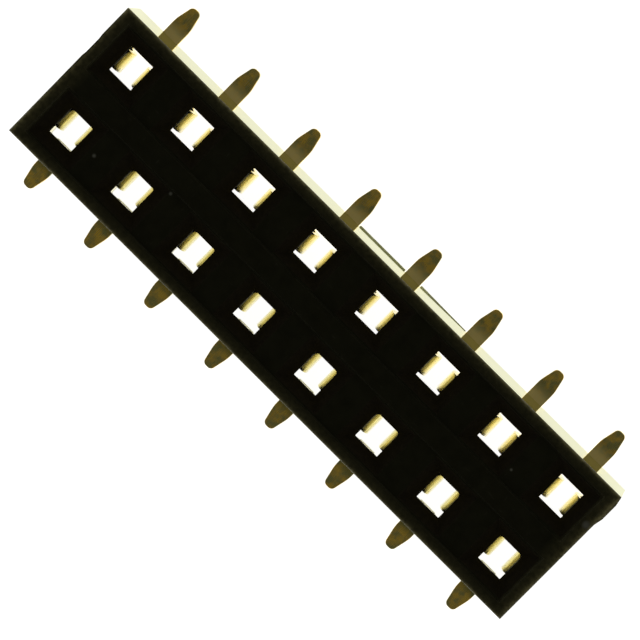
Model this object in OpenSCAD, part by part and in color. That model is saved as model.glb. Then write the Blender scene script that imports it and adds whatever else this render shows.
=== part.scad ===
// Two-row surface-mount socket strip with open, pass-through sockets.
// X runs along the strip, Y across it and Z up. Z = 0 is the board plane that the tails lie on.
// Row a is on the +Y side and row b on the -Y side. All sizes are in millimetres.

/* [Strip] */
// Contact positions in each row
positions = 8; // [2:1:20]
// Distance between neighbouring socket axes along a row
pitch = 2.0; // [1.8:0.05:2.6]
// Distance between the two rows' socket axes
row_spacing = 2.0; // [1.8:0.05:3]

/* [Housing] */
// Top of the housing above the board plane
housing_top = 2.2; // [2.1:0.05:3.5]
// Gap between the housing's underside and the board plane
standoff = 0.1; // [0.05:0.01:0.14]
// From the last socket axis of a row to the end face
end_overhang = 1.0; // [0.9:0.05:2]
// From a row's socket axes to the side face
side_overhang = 0.99; // [0.93:0.01:1.5]
// Bevel that breaks the housing's outer top edges
edge_break = 0.04; // [0.01:0.01:0.08]

/* [Row channels] */
// Width of the shallow channel that each row lies in
channel_w = 1.46; // [1.36:0.02:1.6]
// Depth of that channel below the top face
channel_depth = 0.06; // [0.02:0.01:0.12]
// Slope of the channel's sides, as a width on each side
channel_slope = 0.03; // [0.01:0.01:0.05]

/* [Sockets] */
// Side of the square mouth of a lead-in
mouth = 1.32; // [1.1:0.02:1.36]
// Depth of the tapered lead-in below the channel floor
lead_in_depth = 0.28; // [0.15:0.01:0.4]
// Opening at the foot of the lead-in, along the strip
aperture_x = 0.7; // [0.6:0.01:0.9]
// Opening at the foot of the lead-in, across the strip
aperture_y = 0.76; // [0.65:0.01:1]
// Thickness of the ceiling between lead-in and contact chamber
ceiling_t = 0.15; // [0.08:0.01:0.2]
// From a socket axis to the chamber's wall on the strip's middle line side
chamber_in = 0.62; // [0.4:0.01:0.7]
// From a socket axis to the chamber's outer wall, above the contact's back
chamber_out = 0.62; // [0.5:0.01:0.64]

/* [Contact] */
// Thickness of the contact's metal strip
strip_t = 0.15; // [0.12:0.01:0.18]
// Width over the contact's two side wings
contact_w = 1.18; // [1.1:0.01:1.3]
// Clearance between the contact and the walls that it is pushed in between
seat_clear = 0.01; // [0:0.005:0.03]
// Height of the lower edges of the back and the wings
wing_bottom = 0.17; // [0.16:0.01:0.25]
// Height of the upper edges of the back and the wings
wing_top = 0.75; // [0.6:0.01:0.85]
// From the socket axis to the middle of the back's inner face
back_in = 0.53; // [0.5:0.01:0.6]
// How far the back bows in from its ends to its middle
back_bow = 0.09; // [0.04:0.01:0.1]
// Radius of the bends between back and wings, at mid thickness
corner_bend_r = 0.13; // [0.1:0.01:0.16]
// Radius of the bow in the back, at mid thickness
bow_r = 1.5; // [1:0.1:2]

/* [Beams] */
// Width of a spring beam
beam_w = 0.57; // [0.4:0.01:0.58]
// How far the beams' middle lies from the socket axis, towards the strip's middle line
beam_offset = 0.05; // [0.02:0.01:0.07]
// Width of the cut that frees a beam from the rest of its wing
lance_w = 0.05; // [0.02:0.01:0.1]
// Height of the lower end of that cut
lance_z = 0.32; // [0.25:0.01:0.4]
// Height of the crest where a post is gripped
crest_z = 1.02; // [0.98:0.01:1.08]
// Free gap between the two crests of a contact
crest_gap = 0.38; // [0.34:0.01:0.44]
// Radius of the curved face that a post slides over at the crest
crest_r = 0.9; // [0.6:0.01:0.95]
// Angle at which a beam leans in below its crest, in degrees
lean_angle = 36; // [34:1:40]
// Angle at which a beam flares out at its tip, in degrees
flare_angle = 33; // [28:1:36]
// Straight length at a beam's tip
tip_l = 0.03; // [0.01:0.01:0.06]
// Radius of the bend where a beam leans in, at mid thickness
beam_bend_r = 0.2; // [0.15:0.01:0.25]
// Corner radius of a beam's tongue-shaped tip
tip_round = 0.12; // [0.05:0.01:0.24]

/* [Tails] */
// Full width of a tail
tail_w = 0.46; // [0.36:0.01:0.56]
// How far a tail reaches past the housing's side
tail_reach = 0.9; // [0.6:0.01:1.4]
// Length of a tail's tapered end
taper_l = 0.47; // [0.3:0.01:0.55]
// Width of a tail's nose before its corners are rounded
nose_w = 0.25; // [0.22:0.01:0.34]
// Corner radius of a tail's nose
nose_r = 0.12; // [0.04:0.01:0.13]
// Radius that rounds the two shoulders where the taper starts
shoulder_r = 0.9; // [0.3:0.1:1.2]
// Radius of the bend between a tail and the back, at mid thickness
tail_bend_r = 0.12; // [0.09:0.01:0.14]
// Clearance round a tail in its slot in the housing's side
slot_clear = 0.03; // [0.01:0.01:0.05]

/* [Moulding marks] */
// How far the thin flash on row a's side stands out at the housing's lower edge
flash_reach = 0.035; // [0.01:0.005:0.06]
// What it thins to at its far end
flash_end = 0.012; // [0:0.002:0.035]
// Height of that flash
flash_h = 0.03; // [0.02:0.005:0.05]
// Position that the flash starts after
flash_after = 4; // [1:1:6]
// How far the break-off burr stands out of the +X end face
burr_reach = 0.045; // [0.01:0.005:0.08]
// Length of the burr along the end face
burr_l = 0.9; // [0.3:0.05:0.95]
// Height of the burr, down from the bevel of the top edge
burr_h = 0.9; // [0.3:0.05:1.6]
// Depth of the shallow nick in the -X end face
nick_depth = 0.025; // [0.01:0.005:0.05]
// Length of the nick along the end face
nick_l = 0.67; // [0.2:0.01:0.9]
// How far the nick starts before row a's socket axis
nick_lead = 0.54; // [0.2:0.01:0.8]
// Height of the nick, down from the top face
nick_h = 0.5; // [0.1:0.05:1.5]

/* [Hidden] */

// A small overrun that carries a cut past the face that it opens
past = 0.1;
// Overlap of two cuts that meet at a face
lap = 0.01;
// Flats that stand for a quarter turn of a bend
arc_steps = 10;

housing_l = (positions - 1) * pitch + 2 * end_overhang;
housing_w = row_spacing + 2 * side_overhang;
channel_floor = housing_top - channel_depth;
lead_in_foot = channel_floor - lead_in_depth;
ceiling_z = lead_in_foot - ceiling_t;

// Mid-thickness lines of the contact's bent metal
mid = strip_t / 2;
wing_x = contact_w / 2 - mid;
bow_angle = atan(back_bow / wing_x);
bow_rise = bow_r * (1 / cos(bow_angle) - 1);
back_mid = back_in + mid;
back_ends = back_mid + back_bow - bow_rise;
beam_y = [-beam_offset - beam_w / 2, -beam_offset + beam_w / 2];
crest_mid_r = crest_r - mid;
crest_centre = [crest_gap / 2 + crest_r, crest_z];
crest_tilt = (lean_angle - flare_angle) / 2;
crest_corner = crest_centre
    - crest_mid_r / cos((lean_angle + flare_angle) / 2) * [cos(crest_tilt), sin(crest_tilt)];
lean_z = crest_corner[1] - (wing_x - crest_corner[0]) / tan(lean_angle);
tip_end = crest_centre + crest_mid_r * [-cos(flare_angle), sin(flare_angle)]
    + tip_l * [sin(flare_angle), cos(flare_angle)];
tip_z = tip_end[1] + mid * sin(flare_angle);
seat_out = back_ends + mid + seat_clear;
chamber_x = contact_w + 2 * seat_clear;

tail_tip = side_overhang + tail_reach;
taper_angle = atan((tail_w - nose_w) / 2 / taper_l);
slot_w = tail_w + 2 * slot_clear;

function socket_x(i) = (i - (positions - 1) / 2) * pitch;
function unit(v) = v / norm(v);
function left_of(v) = [-v[1], v[0]];
function cross_z(a, b) = a[0] * b[1] - a[1] * b[0];
function reversed(list) = [for (i = [len(list) - 1 : -1 : 0]) list[i]];

// Points round a centre, from the direction of "from" through "sweep" degrees
function arc(centre, radius, from, sweep) =
    let (steps = max(3, ceil(abs(sweep) / 90 * arc_steps)))
    [for (k = [0 : steps]) centre + radius * [cos(from + sweep * k / steps), sin(from + sweep * k / steps)]];

// One side of a bent strip, "side" to the left of its mid line, with a bend of radii[i - 1] at point i
function strip_side(line, radii, side) = [
    line[0] + side * left_of(unit(line[1] - line[0])),
    for (i = [1 : len(line) - 2])
        let (before = unit(line[i] - line[i - 1]), after = unit(line[i + 1] - line[i]))
        let (turn = atan2(cross_z(before, after), before * after), hand = sign(turn))
        let (centre = line[i] - radii[i - 1] * tan(abs(turn) / 2) * before
            + hand * radii[i - 1] * left_of(before))
        let (out = -hand * left_of(before))
        each arc(centre, radii[i - 1] - hand * side, atan2(out[1], out[0]), turn),
    line[len(line) - 1] + side * left_of(unit(line[len(line) - 1] - line[len(line) - 2]))
];

// Outline of a bent strip of the contact's metal
function strip_outline(line, radii) =
    concat(strip_side(line, radii, mid), reversed(strip_side(line, radii, -mid)));

// Corner of an outline rounded by radius, where "corner" is the sharp point between two directions in degrees
function round_corner(corner, radius, from, sweep) =
    let (bisector = from + sweep / 2)
    arc(corner - radius / cos(sweep / 2) * [cos(bisector), sin(bisector)], radius, from, sweep);

// Stands a profile drawn in (x, z) up and gives it the width y0 to y1
module along_y(y0, y1) {
    translate([0, y1, 0]) rotate([90, 0, 0]) linear_extrude(y1 - y0) children();
}

// Stands a profile drawn in (y, z) up and gives it the width x0 to x1
module along_x(x0, x1) {
    translate([x0, 0, 0]) rotate([90, 0, 90]) linear_extrude(x1 - x0) children();
}

// Prism with sloped sides, given by its lower and upper size, centred on Z
module taper_block(low, high, z0, z1) {
    intersection() {
        along_y(-max(low[1], high[1]), max(low[1], high[1]))
            polygon([[-low[0] / 2, z0], [low[0] / 2, z0], [high[0] / 2, z1], [-high[0] / 2, z1]]);
        along_x(-max(low[0], high[0]), max(low[0], high[0]))
            polygon([[-low[1] / 2, z0], [low[1] / 2, z0], [high[1] / 2, z1], [-high[1] / 2, z1]]);
    }
}

// Block between two corners
module block(low, high) {
    translate(low) cube(high - low);
}

// Puts its children at every socket, turned so that +Y faces out of the strip
module at_sockets() {
    for (i = [0 : positions - 1]) {
        translate([socket_x(i), row_spacing / 2, 0]) children();
        translate([socket_x(i), -row_spacing / 2, 0]) mirror([0, 1, 0]) children();
    }
}

// The space that one socket takes out of the housing
module socket_space() {
    foot = [aperture_x, aperture_y];
    spread = ([mouth, mouth] - foot) * (1 + past / lead_in_depth);
    taper_block(foot, foot + spread, lead_in_foot, channel_floor + past);
    block([-aperture_x / 2, -aperture_y / 2, ceiling_z - past],
        [aperture_x / 2, aperture_y / 2, lead_in_foot + lap]);
    block([-chamber_x / 2, -chamber_in, standoff - past], [chamber_x / 2, chamber_out, ceiling_z]);
    block([-chamber_x / 2, -chamber_in, standoff - past], [chamber_x / 2, seat_out, wing_top + seat_clear]);
    block([-slot_w / 2, 0, standoff - past], [slot_w / 2, side_overhang + past, strip_t + slot_clear]);
}

// Shallow channel along one row, on the row's axes
module row_channel() {
    floor_l = housing_l - 2 * end_overhang + channel_w - 2 * channel_slope;
    floor_w = channel_w - 2 * channel_slope;
    widen = 2 * channel_slope * (1 + past / channel_depth);
    taper_block([floor_l, floor_w], [floor_l + widen, floor_w + widen], channel_floor, housing_top + past);
}

// Outer form of the housing with its top edges broken
module housing_block() {
    intersection() {
        along_x(-housing_l / 2, housing_l / 2) top_broken(housing_w);
        along_y(-housing_w / 2, housing_w / 2) top_broken(housing_l);
    }
}

// Upright section of that form, "across" wide
module top_broken(across) {
    polygon([
        [-across / 2, standoff], [across / 2, standoff],
        [across / 2, housing_top - edge_break], [across / 2 - edge_break, housing_top],
        [-across / 2 + edge_break, housing_top], [-across / 2, housing_top - edge_break]
    ]);
}

// Flash left along the lower edge of row a's side, in the two gaps between three neighbouring tails
module flash() {
    first = min(flash_after, positions - 1) - 1;
    last = min(first + 1, positions - 2);
    y = housing_w / 2;
    for (i = [first : last]) {
        x0 = socket_x(i) + slot_w / 2;
        x1 = socket_x(i + 1) - slot_w / 2;
        thin = i == last ? flash_end : flash_reach;
        translate([0, 0, standoff]) linear_extrude(flash_h)
            polygon([[x0, y - past], [x1, y - past], [x1, y + thin], [x0, y + flash_reach]]);
    }
}

// Plan of a low swelling on an end face, from y0 and l long
module swelling(y0, l, reach) {
    polygon([[-past, y0], [0, y0], [reach, y0 + l / 4], [reach, y0 + l * 3 / 4], [0, y0 + l], [-past, y0 + l]]);
}

// Break-off burr on the +X end, next to row a's side
module burr() {
    translate([housing_l / 2, 0, housing_top - edge_break - burr_h])
        linear_extrude(burr_h) swelling(housing_w / 2 - burr_l, burr_l, burr_reach);
}

// Nick in the upper edge of the -X end, beside row a's first socket
module nick() {
    translate([-housing_l / 2, 0, housing_top - nick_h])
        linear_extrude(nick_h + past) swelling(row_spacing / 2 - nick_lead, nick_l, nick_depth);
}

module housing() {
    color([0.05, 0.05, 0.045])
    difference() {
        union() {
            housing_block();
            flash();
            burr();
        }
        for (side = [-1, 1]) translate([0, side * row_spacing / 2, 0]) row_channel();
        nick();
        at_sockets() socket_space();
    }
}

// Back and side wings, bent to a U in plan, with the wings cut down where the beams rise from them
module cradle() {
    line = [[-wing_x, beam_y[0]], [-wing_x, back_ends], [0, back_ends - back_bow],
        [wing_x, back_ends], [wing_x, beam_y[0]]];
    difference() {
        translate([0, 0, wing_bottom]) linear_extrude(wing_top - wing_bottom)
            polygon(strip_outline(line, [corner_bend_r, bow_r, corner_bend_r]));
        block([-contact_w, beam_y[0] - past, lance_z], [contact_w, beam_y[1] + lance_w, wing_top + past]);
    }
}

// Spring beam on the +X wing: it leans in to its curved crest and flares out at its tip
module beam() {
    line = [[wing_x, wing_bottom], [wing_x, lean_z], crest_corner, tip_end];
    intersection() {
        along_y(beam_y[0], beam_y[1]) polygon(strip_outline(line, [beam_bend_r, crest_mid_r]));
        along_x(0, contact_w) tongue();
    }
}

// Outline of a beam seen along X, with its round-cornered tip
module tongue() {
    polygon(concat(
        [[beam_y[0], 0], [beam_y[1], 0]],
        round_corner([beam_y[1], tip_z], tip_round, 0, 90),
        round_corner([beam_y[0], tip_z], tip_round, 90, 90)
    ));
}

// Tail that lies on the board plane and turns up into the back
module tail() {
    line = [[tail_tip, mid], [back_mid, mid], [back_mid, wing_bottom + strip_t]];
    intersection() {
        along_x(-tail_w / 2, tail_w / 2) polygon(strip_outline(line, [tail_bend_r]));
        translate([0, 0, -past]) linear_extrude(wing_top) tail_plan();
    }
}

// Plan of the tail with its tapered, round-cornered nose
module tail_plan() {
    polygon(concat(
        [[-tail_w / 2, 0], [tail_w / 2, 0]],
        round_corner([tail_w / 2, tail_tip - taper_l], shoulder_r, 0, taper_angle),
        round_corner([nose_w / 2, tail_tip], nose_r, taper_angle, 90 - taper_angle),
        round_corner([-nose_w / 2, tail_tip], nose_r, 90, 90 - taper_angle),
        round_corner([-tail_w / 2, tail_tip - taper_l], shoulder_r, 180 - taper_angle, taper_angle)
    ));
}

// One contact on its socket axis, with its tail towards +Y
module contact() {
    color([0.66, 0.53, 0.24]) {
        cradle();
        beam();
        mirror([1, 0, 0]) beam();
        tail();
    }
}

module contact_a(i) {
    translate([socket_x(i), row_spacing / 2, 0]) contact();
}

module contact_b(i) {
    translate([socket_x(i), -row_spacing / 2, 0]) mirror([0, 1, 0]) contact();
}

for (i = [0 : positions - 1]) {
    contact_a(i);
    contact_b(i);
}
housing();
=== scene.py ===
"""Looks of the two-row socket strip: finer meshes, materials, floor, light and camera round the frame."""

import math

import bmesh
import bpy
from mathutils import Matrix, Vector


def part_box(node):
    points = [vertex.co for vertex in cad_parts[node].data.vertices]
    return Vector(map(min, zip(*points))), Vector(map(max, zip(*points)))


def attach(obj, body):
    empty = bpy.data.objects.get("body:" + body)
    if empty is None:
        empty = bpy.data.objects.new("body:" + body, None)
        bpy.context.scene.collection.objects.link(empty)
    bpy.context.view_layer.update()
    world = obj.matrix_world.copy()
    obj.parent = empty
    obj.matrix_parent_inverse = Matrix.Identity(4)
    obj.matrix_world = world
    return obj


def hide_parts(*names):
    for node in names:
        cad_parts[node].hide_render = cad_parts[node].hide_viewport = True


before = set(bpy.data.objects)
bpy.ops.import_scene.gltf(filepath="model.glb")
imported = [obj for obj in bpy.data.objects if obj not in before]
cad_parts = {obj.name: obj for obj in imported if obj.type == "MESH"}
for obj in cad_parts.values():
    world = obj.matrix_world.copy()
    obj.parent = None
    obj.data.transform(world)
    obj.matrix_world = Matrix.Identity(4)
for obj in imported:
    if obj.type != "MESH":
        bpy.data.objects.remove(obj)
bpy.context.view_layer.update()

MM = 0.001
HOUSING_LOW, HOUSING_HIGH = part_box("housing")
CONTACTS = sorted(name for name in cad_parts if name.startswith("contact_"))

# Camera: the point it aims at, its offset from there, the direction that is up in the picture, the
# picture's size and the focal length in pixels, the sensor's width, and in metres how near and far it sees
AIM = Vector((0.172, -0.126, 1.1)) * MM
CAMERA_OFFSET = Vector((4.812, 13.254, 122.311)) * MM
PICTURE_UP = Vector((-0.7047, 0.7078, -0.0490))
PICTURE_PX = 640
FOCAL_PX = 5302
SENSOR_MM = 36
NEAREST = 1 * MM
FARTHEST = 10.0

# Floor: its size in metres, how far it lies below the part in millimetres, its paleness, and its strength
# in the camera's own view and in reflections
FLOOR_SIZE = 2.0
FLOOR_DROP = 0.002
PAPER = 0.9
SEEN_WHITE = 0.95
MIRRORED_WHITE = 1.0

# Edge rounding, in millimetres: the moulded plastic, its worn outer top edges, the crisp edges of the row
# channels and the stamped metal
PLASTIC_EDGE = 0.014
WORN_EDGE = 0.026
CRISP_EDGE = 0.005
METAL_EDGE = 0.008
ROUNDING_STEPS = 2

# An edge with more than the first angle is rounded, and faces within the second are joined into one
SHARP_ANGLE = math.radians(28)
FLAT_ANGLE = math.radians(0.3)

# Least length of a worn edge and of an edge of a row channel, in millimetres
WORN_RUN = 4 * WORN_EDGE
CHANNEL_RUN = 1.5

# Points this near are welded, and places this near count as touching, in millimetres
WELD_REACH = 0.0005
TOUCH = 0.004

# Places on the housing, in millimetres: depth of the row channels, height and breadth of the outer top edge
# with its nick, reach of the flash, breadth of the rim
CHANNEL_DEPTH = 0.06
EDGE_HEIGHT = 0.04
EDGE_BREADTH = 0.066
FLASH_REACH = 0.035
RIM = 0.2

# A face counts as upright when its normal points up or down by less than this
WALL_RISE = 0.5

# The painted rim sheen reaches less far in from a side than from an end, by this factor
SIDE_FACTOR = 1.6

# Pale spots on the top of the housing, three of them dust and the last, near the +X end, a painted
# highlight: the place along and across the strip and the radius, in millimetres, and the share of the
# radius that is evenly pale
DUST_AND_HIGHLIGHT_SPOTS = [(-6.17, -1.01, 0.06), (-4.29, -0.38, 0.055), (5.76, 0.65, 0.045), (7.87, 0.97, 0.12)]
SPOT_CORE = 0.3

# Heights on a contact between which the tone of the tail gives way to that of the beams, in millimetres
TAIL_TOP = 0.16
BEAM_FOOT = 0.40

# How far out from the housing the painted tone of a tail's foot, lighter in row a and darker in row b,
# begins to fade and has faded, in millimetres
FOOT_FULL = 0.1
FOOT_FADED = 0.4

# Places of the housing's finishes in its list of materials
MATTE, POLISHED, DULL, THIN = range(4)


def node(tree, kind, inputs=(), **settings):
    """A shader node with some settings and input values."""
    made = tree.nodes.new(kind)
    for name, value in settings.items():
        setattr(made, name, value)
    for name, value in dict(inputs).items():
        made.inputs[name].default_value = value
    return made


def join(tree, source, target):
    """Links an output socket to an input socket."""
    tree.links.new(source, target)


def millimetres(tree, stretch=(1, 1, 1)):
    """The place on the object in millimetres, scaled by stretch."""
    place = node(tree, "ShaderNodeTexCoord")
    scaled = node(tree, "ShaderNodeMapping", {"Scale": [s / MM for s in stretch]})
    join(tree, place.outputs["Object"], scaled.inputs["Vector"])
    return scaled.outputs["Vector"]


def noise(tree, place, scale, detail=2.0, roughness=0.5):
    """Noise with so many cycles to a millimetre."""
    made = node(tree, "ShaderNodeTexNoise", {"Scale": scale, "Detail": detail, "Roughness": roughness})
    join(tree, place, made.inputs["Vector"])
    return made.outputs["Fac"]


def ramp(tree, source, stops):
    """Colours along a source value, given as (position, colour) stops."""
    made = node(tree, "ShaderNodeValToRGB")
    elements = made.color_ramp.elements
    while len(elements) < len(stops):
        elements.new(0.5)
    for element, (position, colour) in zip(elements, stops):
        element.position = position
        element.color = (*colour, 1)
    join(tree, source, made.inputs["Fac"])
    return made.outputs["Color"]


def grey(value):
    """A grey as a colour."""
    return (value, value, value)


def grey_ramp(tree, source, stops):
    """Greys along a source value, given as (position, grey) stops."""
    return ramp(tree, source, [(position, grey(value)) for position, value in stops])


def calc(tree, operation, *values):
    """Result of a math node whose values are numbers or output sockets."""
    made = node(tree, "ShaderNodeMath", operation=operation)
    for socket, value in zip(made.inputs, values):
        if isinstance(value, (int, float)):
            socket.default_value = value
        else:
            join(tree, value, socket)
    return made.outputs["Value"]


def along(tree, axis):
    """The place on the object along X, Y or Z, in millimetres."""
    parts = node(tree, "ShaderNodeSeparateXYZ")
    join(tree, millimetres(tree), parts.inputs["Vector"])
    return parts.outputs[axis]


def share(tree, value, low, high):
    """How far a value has come from low to high, from 0 to 1."""
    made = node(tree, "ShaderNodeMapRange", {"From Min": low, "From Max": high})
    join(tree, value, made.inputs["Value"])
    return made.outputs["Result"]


def tone(tree, colour):
    """A colour as an output socket."""
    made = node(tree, "ShaderNodeRGB")
    made.outputs["Color"].default_value = (*colour, 1)
    return made.outputs["Color"]


def mix_colours(tree, factor, first, second):
    """Mix of two colour outputs by a factor output."""
    made = node(tree, "ShaderNodeMix", data_type="RGBA")
    join(tree, factor, made.inputs["Factor"])
    join(tree, first, made.inputs["A"])
    join(tree, second, made.inputs["B"])
    return made.outputs["Result"]


def shade_colour(tree, colour, shade):
    """A colour output made darker by a grey output."""
    made = node(tree, "ShaderNodeMix", {"Factor": 1.0}, data_type="RGBA", blend_type="MULTIPLY")
    join(tree, colour, made.inputs["A"])
    join(tree, shade, made.inputs["B"])
    return made.outputs["Result"]


def bump(tree, height, strength, depth_mm):
    """Normal bent by a height output."""
    made = node(tree, "ShaderNodeBump", {"Strength": strength, "Distance": depth_mm * MM})
    join(tree, height, made.inputs["Height"])
    return made.outputs["Normal"]


def material(name, **values):
    """A new material with its Principled shader, whose plain values are set on its sockets."""
    made = bpy.data.materials.new(name)
    made.use_nodes = True
    shader = made.node_tree.nodes["Principled BSDF"]
    for key, value in values.items():
        shader.inputs[key.replace("_", " ")].default_value = value
    return made, made.node_tree, shader


def plastic_colour(tree):
    """Black plastic with faint mottling and pale fibre flecks."""
    darkest = (0.0008, 0.0008, 0.0002)
    lightest = (0.0018, 0.0017, 0.0005)
    fibre = (0.028, 0.027, 0.022)
    mottling = noise(tree, millimetres(tree), scale=5.0, detail=4.0)
    cloudy = ramp(tree, mottling, [(0.35, darkest), (0.65, lightest)])
    fleck_x = noise(tree, millimetres(tree, (3.0, 22.0, 22.0)), scale=1.0)
    fleck_y = noise(tree, millimetres(tree, (22.0, 3.0, 22.0)), scale=1.0)
    flecks = grey_ramp(tree, calc(tree, "MAXIMUM", fleck_x, fleck_y), [(0.70, 0.0), (0.80, 0.35)])
    return mix_colours(tree, flecks, cloudy, tone(tree, fibre))


def from_outer_edge(tree):
    """Millimetres in from the nearest end or side of the housing, where the sides count for more."""
    half_l = -HOUSING_LOW.x / MM
    half_w = -HOUSING_LOW.y / MM
    from_end = calc(tree, "SUBTRACT", half_l, calc(tree, "ABSOLUTE", along(tree, "X")))
    from_side = calc(tree, "SUBTRACT", half_w, calc(tree, "ABSOLUTE", along(tree, "Y")))
    return calc(tree, "MINIMUM", from_end, calc(tree, "MULTIPLY", from_side, SIDE_FACTOR))


def dust_and_highlight_spots(tree):
    """How strongly the few pale spots, three of dust and one painted highlight, cover the plastic."""
    total = 0.0
    for x, y, radius in DUST_AND_HIGHLIGHT_SPOTS:
        away_x = calc(tree, "SUBTRACT", along(tree, "X"), x)
        away_y = calc(tree, "SUBTRACT", along(tree, "Y"), y)
        squares = calc(tree, "ADD", calc(tree, "MULTIPLY", away_x, away_x),
                       calc(tree, "MULTIPLY", away_y, away_y))
        away = calc(tree, "POWER", squares, 0.5)
        total = calc(tree, "MAXIMUM", share(tree, away, radius, SPOT_CORE * radius), total)
    return total


def matte_plastic():
    """The mould-textured faces: top, channels and underside, with painted sheen making them paler towards
    the outer edges.
    """
    painted_rim_sheen_tone = (0.120, 0.106, 0.044)
    dust_and_highlight_tone = (0.058, 0.058, 0.046)
    made, tree, shader = material("housing_plastic_matte", Specular_IOR_Level=0.18,
                                  Specular_Tint=(1.0, 0.98, 0.5, 1.0))
    # Painted sheen: the plastic is made paler near the outer edges, where light catches the rims
    painted_rim_sheen = grey_ramp(tree, from_outer_edge(tree),
                       [(0.04, 1.0), (0.08, 0.56), (0.12, 0.30), (0.17, 0.18), (0.30, 0.10), (0.5, 0.0)])
    speckle = grey_ramp(tree, noise(tree, millimetres(tree), scale=9.0, detail=4.0, roughness=0.7),
                        [(0.38, 0.4), (0.62, 1.0)])
    speckled_rim_sheen = calc(tree, "MULTIPLY", painted_rim_sheen, speckle)
    plastic_with_rim_sheen = mix_colours(tree, speckled_rim_sheen, plastic_colour(tree), tone(tree, painted_rim_sheen_tone))
    join(tree, mix_colours(tree, dust_and_highlight_spots(tree), plastic_with_rim_sheen, tone(tree, dust_and_highlight_tone)), shader.inputs["Base Color"])
    roughness = grey_ramp(tree, noise(tree, millimetres(tree), scale=3.0), [(0.3, 0.42), (0.7, 0.58)])
    join(tree, roughness, shader.inputs["Roughness"])
    grain = noise(tree, millimetres(tree), scale=26.0, detail=3.0, roughness=0.6)
    join(tree, bump(tree, grain, strength=0.5, depth_mm=0.004), shader.inputs["Normal"])
    return made


def dull_plastic():
    """The lead-ins and chambers, which are rougher, with painted light a little paler round the opening and
    painted shade black below it.
    """
    made, tree, shader = material("housing_plastic_dull", Specular_IOR_Level=0.05)
    depth = calc(tree, "SUBTRACT", HOUSING_HIGH.z / MM, along(tree, "Z"))
    # Painted light and shade by depth: paler near the opening, black deep in the chamber
    painted_light_and_shade_by_depth = ramp(tree, depth, [(0.06, (0.0078, 0.0058, 0.0014)), (0.25, (0.0105, 0.0078, 0.0017)),
                                  (0.34, (0.0180, 0.0135, 0.0022)), (0.50, grey(0.0005))])
    mottling = noise(tree, millimetres(tree), scale=8.0, detail=4.0)
    cloudy = grey_ramp(tree, mottling, [(0.35, 0.7), (0.65, 1.0)])
    join(tree, shade_colour(tree, painted_light_and_shade_by_depth, cloudy), shader.inputs["Base Color"])
    grain = noise(tree, millimetres(tree), scale=30.0, detail=3.0, roughness=0.6)
    join(tree, grey_ramp(tree, grain, [(0.3, 0.62), (0.7, 0.74)]), shader.inputs["Roughness"])
    join(tree, bump(tree, grain, strength=0.5, depth_mm=0.004), shader.inputs["Normal"])
    return made


def flash_with_painted_backlight():
    """The flash, with the backlight through its thin plastic painted as a pale grey-green colour."""
    # Painted backlight: pale colours stand for light shining through the thin flash
    darkest = (0.54, 0.56, 0.22)
    lightest = (0.78, 0.80, 0.40)
    made, tree, shader = material("housing_flash_painted_backlight", Specular_IOR_Level=0.4)
    mottling = noise(tree, millimetres(tree), scale=7.0, detail=3.0)
    join(tree, ramp(tree, mottling, [(0.35, darkest), (0.65, lightest)]), shader.inputs["Base Color"])
    roughness = grey_ramp(tree, noise(tree, millimetres(tree), scale=12.0), [(0.3, 0.30), (0.7, 0.45)])
    join(tree, roughness, shader.inputs["Roughness"])
    return made


def polished_plastic():
    """The side walls, which were drawn out of a polished mould and mirror with a yellow tint."""
    made, tree, shader = material("housing_plastic_polished", Specular_IOR_Level=0.04, Coat_Weight=1.0,
                                  Coat_Roughness=0.05, Coat_IOR=1.22, Coat_Tint=(1.0, 1.0, 0.0, 1.0))
    join(tree, plastic_colour(tree), shader.inputs["Base Color"])
    drawn = noise(tree, millimetres(tree, (14.0, 14.0, 0.8)), scale=1.0, detail=3.0)
    join(tree, grey_ramp(tree, drawn, [(0.3, 0.05), (0.7, 0.10)]), shader.inputs["Roughness"])
    join(tree, bump(tree, drawn, strength=0.12, depth_mm=0.0002), shader.inputs["Normal"])
    return made


def tail_colour(tree, patches, by_housing, on_row_a):
    """Brown and olive stains, with painted reflection making the foot lighter in row a and painted shade
    making it darker in row b.
    """
    brown = (0.94, 0.64, 0.10)
    between = (0.72, 0.53, 0.12)
    olive = (0.48, 0.43, 0.13)
    painted_reflection_foot_a = (1.0, 0.82, 0.30)
    painted_shade_foot_b = (0.20, 0.21, 0.05)
    stained = ramp(tree, patches, [(0.38, brown), (0.5, between), (0.62, olive)])
    foot = mix_colours(tree, on_row_a, tone(tree, painted_shade_foot_b), tone(tree, painted_reflection_foot_a))
    return mix_colours(tree, by_housing, stained, foot)


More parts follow.
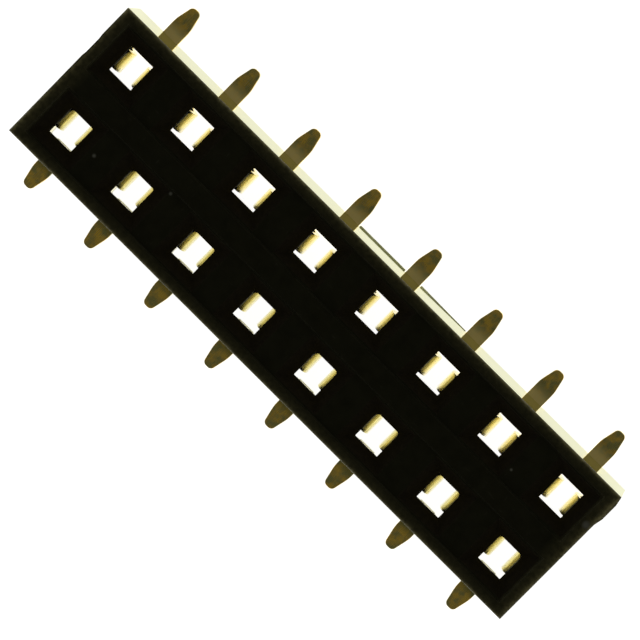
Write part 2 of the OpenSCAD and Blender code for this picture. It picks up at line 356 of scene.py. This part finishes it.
def gold():
    """Thin gold over rolled copper alloy: bright on the beams, dull and stained on the tails, with painted
    reflection and shade at their feet.
    """
    beam_dark = (0.98, 0.89, 0.51)
    beam_light = (0.98, 0.93, 0.59)
    foot_dullness = 0.32
    made, tree, shader = material("contact_gold", Metallic=1.0)
    patches = noise(tree, millimetres(tree), scale=5.0, detail=2.0, roughness=0.6)
    outside = HOUSING_HIGH.y / MM
    off_middle = calc(tree, "ABSOLUTE", along(tree, "Y"))
    # Where a tail's foot takes the painted reflection (row a) or the painted shade (row b)
    by_housing = share(tree, off_middle, outside + FOOT_FADED, outside + FOOT_FULL)
    on_row_a = calc(tree, "GREATER_THAN", along(tree, "Y"), 0.0)
    on_beam = share(tree, along(tree, "Z"), TAIL_TOP, BEAM_FOOT)
    bright = ramp(tree, patches, [(0.35, beam_dark), (0.65, beam_light)])
    colour = mix_colours(tree, on_beam, tail_colour(tree, patches, by_housing, on_row_a), bright)
    join(tree, colour, shader.inputs["Base Color"])
    rolled = noise(tree, millimetres(tree, (22.0, 2.5, 22.0)), scale=1.0, detail=3.0)
    roughness = grey_ramp(tree, rolled, [(0.3, 0.22), (0.7, 0.34)])
    dull_foot = calc(tree, "MULTIPLY", calc(tree, "MULTIPLY", by_housing, on_row_a), foot_dullness)
    off_beam = calc(tree, "SUBTRACT", 1.0, on_beam)
    join(tree, calc(tree, "MULTIPLY_ADD", dull_foot, off_beam, roughness), shader.inputs["Roughness"])
    join(tree, bump(tree, rolled, strength=0.25, depth_mm=0.0006), shader.inputs["Normal"])
    return made


def worn_edge(edge):
    """Whether an edge runs some way along the outside of the housing's top."""
    def is_outer(place):
        outside = min(-HOUSING_LOW.x / MM - abs(place.x), -HOUSING_LOW.y / MM - abs(place.y))
        return outside < EDGE_BREADTH + TOUCH and place.z > HOUSING_HIGH.z / MM - EDGE_HEIGHT - TOUCH
    return edge.calc_length() > WORN_RUN and all(is_outer(vertex.co) for vertex in edge.verts)


def channel_edge(edge):
    """Whether an edge runs along a side or an end of a row channel."""
    def is_channel(place):
        return place.z > HOUSING_HIGH.z / MM - CHANNEL_DEPTH - TOUCH
    return edge.calc_length() > CHANNEL_RUN and all(is_channel(vertex.co) for vertex in edge.verts)


def housing_rounding(edge):
    """Rounding of an edge of the housing, in millimetres."""
    if worn_edge(edge):
        return WORN_EDGE
    return CRISP_EDGE if channel_edge(edge) else PLASTIC_EDGE


def metal_rounding(edge):
    """Rounding of an edge of a contact, in millimetres."""
    return METAL_EDGE


def weigh_edges(shape, rounding_of):
    """Bevel weights for the sharp edges of a mesh, from a function that gives each one's rounding."""
    weights = shape.edges.layers.float.new("bevel_weight_edge")
    for edge in shape.edges:
        if len(edge.link_faces) == 2 and edge.calc_face_angle(0.0) > SHARP_ANGLE:
            edge[weights] = rounding_of(edge) / WORN_EDGE


def clean_copy(name, rounding_of):
    """Mesh of a CAD node in millimetres, with welded points, joined flat faces and weighed edges."""
    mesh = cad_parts[name].data.copy()
    mesh.transform(Matrix.Scale(1 / MM, 4))
    shape = bmesh.new()
    shape.from_mesh(mesh)
    bmesh.ops.remove_doubles(shape, verts=shape.verts, dist=WELD_REACH)
    bmesh.ops.dissolve_limit(shape, angle_limit=FLAT_ANGLE, verts=shape.verts, edges=shape.edges)
    for face in shape.faces:
        face.smooth = True
    weigh_edges(shape, rounding_of)
    shape.to_mesh(mesh)
    shape.free()
    return mesh


def add_modifiers(draft):
    """Rounds the weighed edges of an object, welds what meets there and evens out the shading."""
    rounding = draft.modifiers.new("rounding", "BEVEL")
    rounding.width = WORN_EDGE
    rounding.segments = ROUNDING_STEPS
    rounding.limit_method = "WEIGHT"
    rounding.use_clamp_overlap = False
    welding = draft.modifiers.new("welding", "WELD")
    welding.merge_threshold = WELD_REACH
    shading = draft.modifiers.new("shading", "WEIGHTED_NORMAL")
    shading.mode = "FACE_AREA"


def rounded_copy(name, rounding_of):
    """Mesh of a CAD node in metres with rounded edges, no point of which leaves the node's box."""
    draft = bpy.data.objects.new(name + "_draft", clean_copy(name, rounding_of))
    bpy.context.scene.collection.objects.link(draft)
    add_modifiers(draft)
    depsgraph = bpy.context.evaluated_depsgraph_get()
    finished = bpy.data.meshes.new_from_object(draft.evaluated_get(depsgraph))
    bpy.data.objects.remove(draft)
    finished.transform(Matrix.Scale(MM, 4))
    low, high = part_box(name)
    for point in finished.vertices:
        point.co = [min(max(place, lowest), highest) for place, lowest, highest in zip(point.co, low, high)]
    return finished


def piece(name, mesh, materials):
    """A finished piece that stands for one CAD node."""
    made = bpy.data.objects.new(name + "_skin", mesh)
    bpy.context.scene.collection.objects.link(made)
    mesh.materials.clear()
    for finish in materials:
        mesh.materials.append(finish)
    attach(made, "root")
    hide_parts(name)


def housing_finish(face):
    """Which of the housing's finishes a face has, from where it lies."""
    place = face.center
    wall_y = HOUSING_HIGH.y - FLASH_REACH * MM
    channel_floor = HOUSING_HIGH.z - CHANNEL_DEPTH * MM
    within_rim = abs(place.y) < wall_y - RIM * MM and abs(place.x) < -HOUSING_LOW.x - RIM * MM
    if place.y > wall_y + TOUCH * MM:
        return THIN
    if within_rim and HOUSING_LOW.z + TOUCH * MM < place.z < channel_floor - TOUCH * MM:
        return DULL
    return POLISHED if abs(face.normal.z) < WALL_RISE and place.z < channel_floor else MATTE


def housing():
    """The moulding: matte on top and below, polished side walls, dull insides and a thin flash; painted
    light and shade are in the colours of the matte top, the insides and the flash.
    """
    mesh = rounded_copy("housing", housing_rounding)
    piece("housing", mesh,
          [matte_plastic(), polished_plastic(), dull_plastic(), flash_with_painted_backlight()])
    for face in mesh.polygons:
        face.material_index = housing_finish(face)


def contacts():
    """The sixteen contacts, all in one finish."""
    finish = gold()
    for name in CONTACTS:
        mesh = rounded_copy(name, metal_rounding)
        mesh.polygons.foreach_set("material_index", [0] * len(mesh.polygons))
        piece(name, mesh, [finish])


def seen(tree, directly, mirrored):
    """Strength for camera rays, for glossy and transmission rays, and zero for all others."""
    path = node(tree, "ShaderNodeLightPath")
    strengths = {"Is Camera Ray": directly, "Is Glossy Ray": mirrored, "Is Transmission Ray": mirrored}
    total = 0.0
    for name, strength in strengths.items():
        total = calc(tree, "MULTIPLY_ADD", path.outputs[name], strength, total)
    return total


def floor():
    """Pale floor that looks white to the camera and in reflections, and still takes the object's shadow."""
    bpy.ops.mesh.primitive_plane_add(size=FLOOR_SIZE, location=(0, 0, -FLOOR_DROP * MM))
    made = bpy.context.object
    made.name = "floor"
    finish = bpy.data.materials.new("floor")
    finish.use_nodes = True
    tree = finish.node_tree
    tree.nodes.clear()
    paper = node(tree, "ShaderNodeBsdfDiffuse", {"Color": (*grey(PAPER), 1)})
    glow = node(tree, "ShaderNodeEmission", {"Color": (*grey(1.0), 1)})
    join(tree, seen(tree, SEEN_WHITE, MIRRORED_WHITE), glow.inputs["Strength"])
    both = node(tree, "ShaderNodeAddShader")
    join(tree, paper.outputs["BSDF"], both.inputs[0])
    join(tree, glow.outputs["Emission"], both.inputs[1])
    out = node(tree, "ShaderNodeOutputMaterial")
    join(tree, both.outputs["Shader"], out.inputs["Surface"])
    made.data.materials.append(finish)


def studio_world():
    """Soft light round the object: bright at the sides, dim straight above, and white to the camera."""
    world = bpy.data.worlds.new("studio")
    bpy.context.scene.world = world
    world.use_nodes = True
    tree = world.node_tree
    tree.nodes.clear()
    direction = node(tree, "ShaderNodeTexCoord")
    parts = node(tree, "ShaderNodeSeparateXYZ")
    join(tree, direction.outputs["Generated"], parts.inputs["Vector"])
    light = grey_ramp(tree, parts.outputs["Z"], [(0.0, 1.0), (0.30, 1.0), (0.60, 0.25), (0.90, 0.115)])
    dome = node(tree, "ShaderNodeBackground", {"Strength": 1.0})
    join(tree, light, dome.inputs["Color"])
    white = node(tree, "ShaderNodeBackground", {"Color": (*grey(1.0), 1), "Strength": 1.0})
    path = node(tree, "ShaderNodeLightPath")
    choice = node(tree, "ShaderNodeMixShader")
    join(tree, path.outputs["Is Camera Ray"], choice.inputs["Fac"])
    join(tree, dome.outputs["Background"], choice.inputs[1])
    join(tree, white.outputs["Background"], choice.inputs[2])
    out = node(tree, "ShaderNodeOutputWorld")
    join(tree, choice.outputs["Shader"], out.inputs["Surface"])


def camera():
    """Long-lens camera at the photograph's viewing angle."""
    data = bpy.data.cameras.new("camera")
    data.sensor_width = SENSOR_MM
    data.lens = SENSOR_MM * FOCAL_PX / PICTURE_PX
    data.clip_start = NEAREST
    data.clip_end = FARTHEST
    made = bpy.data.objects.new("camera", data)
    bpy.context.scene.collection.objects.link(made)
    back = CAMERA_OFFSET.normalized()
    right = PICTURE_UP.cross(back).normalized()
    up = back.cross(right)
    turn = Matrix((right, up, back)).transposed().to_4x4()
    made.matrix_world = Matrix.Translation(AIM + CAMERA_OFFSET) @ turn
    bpy.context.scene.camera = made


camera()
floor()
studio_world()
housing()
contacts()
bpy.context.scene.view_settings.view_transform = "Standard"
